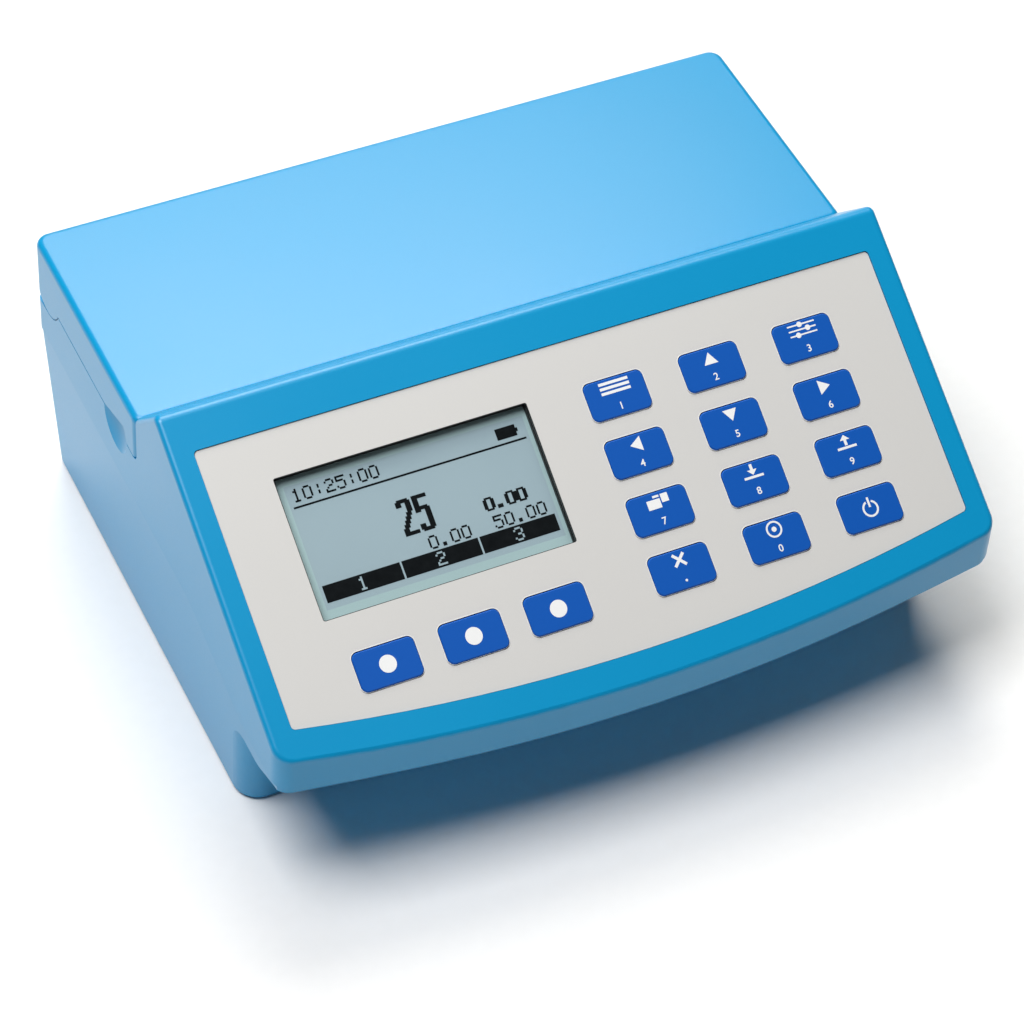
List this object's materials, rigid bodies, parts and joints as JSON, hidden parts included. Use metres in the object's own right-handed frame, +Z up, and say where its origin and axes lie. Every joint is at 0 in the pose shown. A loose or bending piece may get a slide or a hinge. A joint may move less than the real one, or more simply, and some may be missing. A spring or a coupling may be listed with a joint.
{
  "type": "benchtop photometer",
  "caption": "Benchtop photometer: wedge-shaped housing with a sloping keypad and display panel, and a hinged lid over a round cuvette well.",
  "frame": {"origin": "centre of the footprint on the bench, at the underside of the rubber feet", "axes": "+X to the right as the operator faces the panel, +Y to the back, +Z up"},
  "size_m": [0.206, 0.177, 0.097],
  "materials": {
    "blue_shell": "fine satin",
    "pale_label": "matt film",
    "blue_key": "satin",
    "clear_window": "polished",
    "display_glass": "gloss",
    "black_plastic": "matt",
    "white_plastic": "satin",
    "black_rubber": "matt",
    "black_foam": "open cell",
    "green_board": "solder mask",
    "screw_steel": "zinc plated",
    "dome_steel": "bright",
    "grey_ribbon": "satin",
    "emitter_resin": "clear resin",
    "filter_glass": "coated",
    "lens_glass": "polished",
    "detector_metal": "can",
    "battery_wrap": "shrink wrap",
    "socket_metal": "bright plated",
    "jack_plastic": "moulded"
  },
  "bodies": {
    "base": {"upper_housing": "blue_shell", "lower_housing": "blue_shell", "rubber_feet": "black_rubber", "housing_screws": "screw_steel", "hinge_pins": "screw_steel", "keypad_label": "pale_label", "display_window": "clear_window", "display_glass": "display_glass", "display_backlight": "white_plastic", "display_frame": "black_plastic", "keypad_board": "green_board", "key_domes": "dome_steel", "keypad_board_screws": "screw_steel", "ribbon_headers": "white_plastic", "ribbon_cable": "grey_ribbon", "main_board": "green_board", "main_board_chips": "black_plastic", "main_board_screws": "screw_steel", "beeper": "black_plastic", "optical_block": "black_plastic", "optical_block_screws": "screw_steel", "cuvette_holder": "black_plastic", "lamp_board": "green_board", "light_emitters": "emitter_resin", "filter_carrier": "black_plastic", "narrow_band_filters": "filter_glass", "focusing_lens": "lens_glass", "beam_splitter": "lens_glass", "reference_detector": "detector_metal", "measuring_detector": "detector_metal", "battery_cradle": "black_plastic", "battery_pack": "battery_wrap", "socket_board": "green_board", "socket_board_screws": "screw_steel", "socket_plate": "black_plastic", "usb_a_socket": "socket_metal", "micro_usb_socket": "socket_metal", "electrode_jack": "jack_plastic"},
    "lid": {"lid": "blue_shell", "lid_light_seal": "black_foam"},
    "key_r1_c1_body": {"key_r1_c1": "blue_key"},
    "key_r1_c2_body": {"key_r1_c2": "blue_key"},
    "key_r1_c3_body": {"key_r1_c3": "blue_key"},
    "key_r2_c1_body": {"key_r2_c1": "blue_key"},
    "key_r2_c2_body": {"key_r2_c2": "blue_key"},
    "key_r2_c3_body": {"key_r2_c3": "blue_key"},
    "key_r3_c1_body": {"key_r3_c1": "blue_key"},
    "key_r3_c2_body": {"key_r3_c2": "blue_key"},
    "key_r3_c3_body": {"key_r3_c3": "blue_key"},
    "key_r4_c1_body": {"key_r4_c1": "blue_key"},
    "key_r4_c2_body": {"key_r4_c2": "blue_key"},
    "key_r4_c3_body": {"key_r4_c3": "blue_key"},
    "soft_key_1_body": {"soft_key_1": "blue_key"},
    "soft_key_2_body": {"soft_key_2": "blue_key"},
    "soft_key_3_body": {"soft_key_3": "blue_key"}
  },
  "joints": [
    {"name": "lid_hinge", "type": "hinge", "parent": "base", "child": "lid", "pos_m": [0, 0.0792, 0.0715], "axis": [-1, 0, 0], "range_deg": [0, 95]},
    {"name": "key_r1_c1_press", "type": "slide", "parent": "base", "child": "key_r1_c1_body", "axis": [0, 0.506, -0.8625], "range_m": [0, 0.0004], "stiffness_N_per_m": 2500, "springref_m": -0.0002},
    {"name": "key_r1_c2_press", "type": "slide", "parent": "base", "child": "key_r1_c2_body", "axis": [0, 0.506, -0.8625], "range_m": [0, 0.0004], "stiffness_N_per_m": 2500, "springref_m": -0.0002},
    {"name": "key_r1_c3_press", "type": "slide", "parent": "base", "child": "key_r1_c3_body", "axis": [0, 0.506, -0.8625], "range_m": [0, 0.0004], "stiffness_N_per_m": 2500, "springref_m": -0.0002},
    {"name": "key_r2_c1_press", "type": "slide", "parent": "base", "child": "key_r2_c1_body", "axis": [0, 0.506, -0.8625], "range_m": [0, 0.0004], "stiffness_N_per_m": 2500, "springref_m": -0.0002},
    {"name": "key_r2_c2_press", "type": "slide", "parent": "base", "child": "key_r2_c2_body", "axis": [0, 0.506, -0.8625], "range_m": [0, 0.0004], "stiffness_N_per_m": 2500, "springref_m": -0.0002},
    {"name": "key_r2_c3_press", "type": "slide", "parent": "base", "child": "key_r2_c3_body", "axis": [0, 0.506, -0.8625], "range_m": [0, 0.0004], "stiffness_N_per_m": 2500, "springref_m": -0.0002},
    {"name": "key_r3_c1_press", "type": "slide", "parent": "base", "child": "key_r3_c1_body", "axis": [0, 0.506, -0.8625], "range_m": [0, 0.0004], "stiffness_N_per_m": 2500, "springref_m": -0.0002},
    {"name": "key_r3_c2_press", "type": "slide", "parent": "base", "child": "key_r3_c2_body", "axis": [0, 0.506, -0.8625], "range_m": [0, 0.0004], "stiffness_N_per_m": 2500, "springref_m": -0.0002},
    {"name": "key_r3_c3_press", "type": "slide", "parent": "base", "child": "key_r3_c3_body", "axis": [0, 0.506, -0.8625], "range_m": [0, 0.0004], "stiffness_N_per_m": 2500, "springref_m": -0.0002},
    {"name": "key_r4_c1_press", "type": "slide", "parent": "base", "child": "key_r4_c1_body", "axis": [0, 0.506, -0.8625], "range_m": [0, 0.0004], "stiffness_N_per_m": 2500, "springref_m": -0.0002},
    {"name": "key_r4_c2_press", "type": "slide", "parent": "base", "child": "key_r4_c2_body", "axis": [0, 0.506, -0.8625], "range_m": [0, 0.0004], "stiffness_N_per_m": 2500, "springref_m": -0.0002},
    {"name": "key_r4_c3_press", "type": "slide", "parent": "base", "child": "key_r4_c3_body", "axis": [0, 0.506, -0.8625], "range_m": [0, 0.0004], "stiffness_N_per_m": 2500, "springref_m": -0.0002},
    {"name": "soft_key_1_press", "type": "slide", "parent": "base", "child": "soft_key_1_body", "axis": [0, 0.506, -0.8625], "range_m": [0, 0.0004], "stiffness_N_per_m": 2500, "springref_m": -0.0002},
    {"name": "soft_key_2_press", "type": "slide", "parent": "base", "child": "soft_key_2_body", "axis": [0, 0.506, -0.8625], "range_m": [0, 0.0004], "stiffness_N_per_m": 2500, "springref_m": -0.0002},
    {"name": "soft_key_3_press", "type": "slide", "parent": "base", "child": "soft_key_3_body", "axis": [0, 0.506, -0.8625], "range_m": [0, 0.0004], "stiffness_N_per_m": 2500, "springref_m": -0.0002}
  ]
}
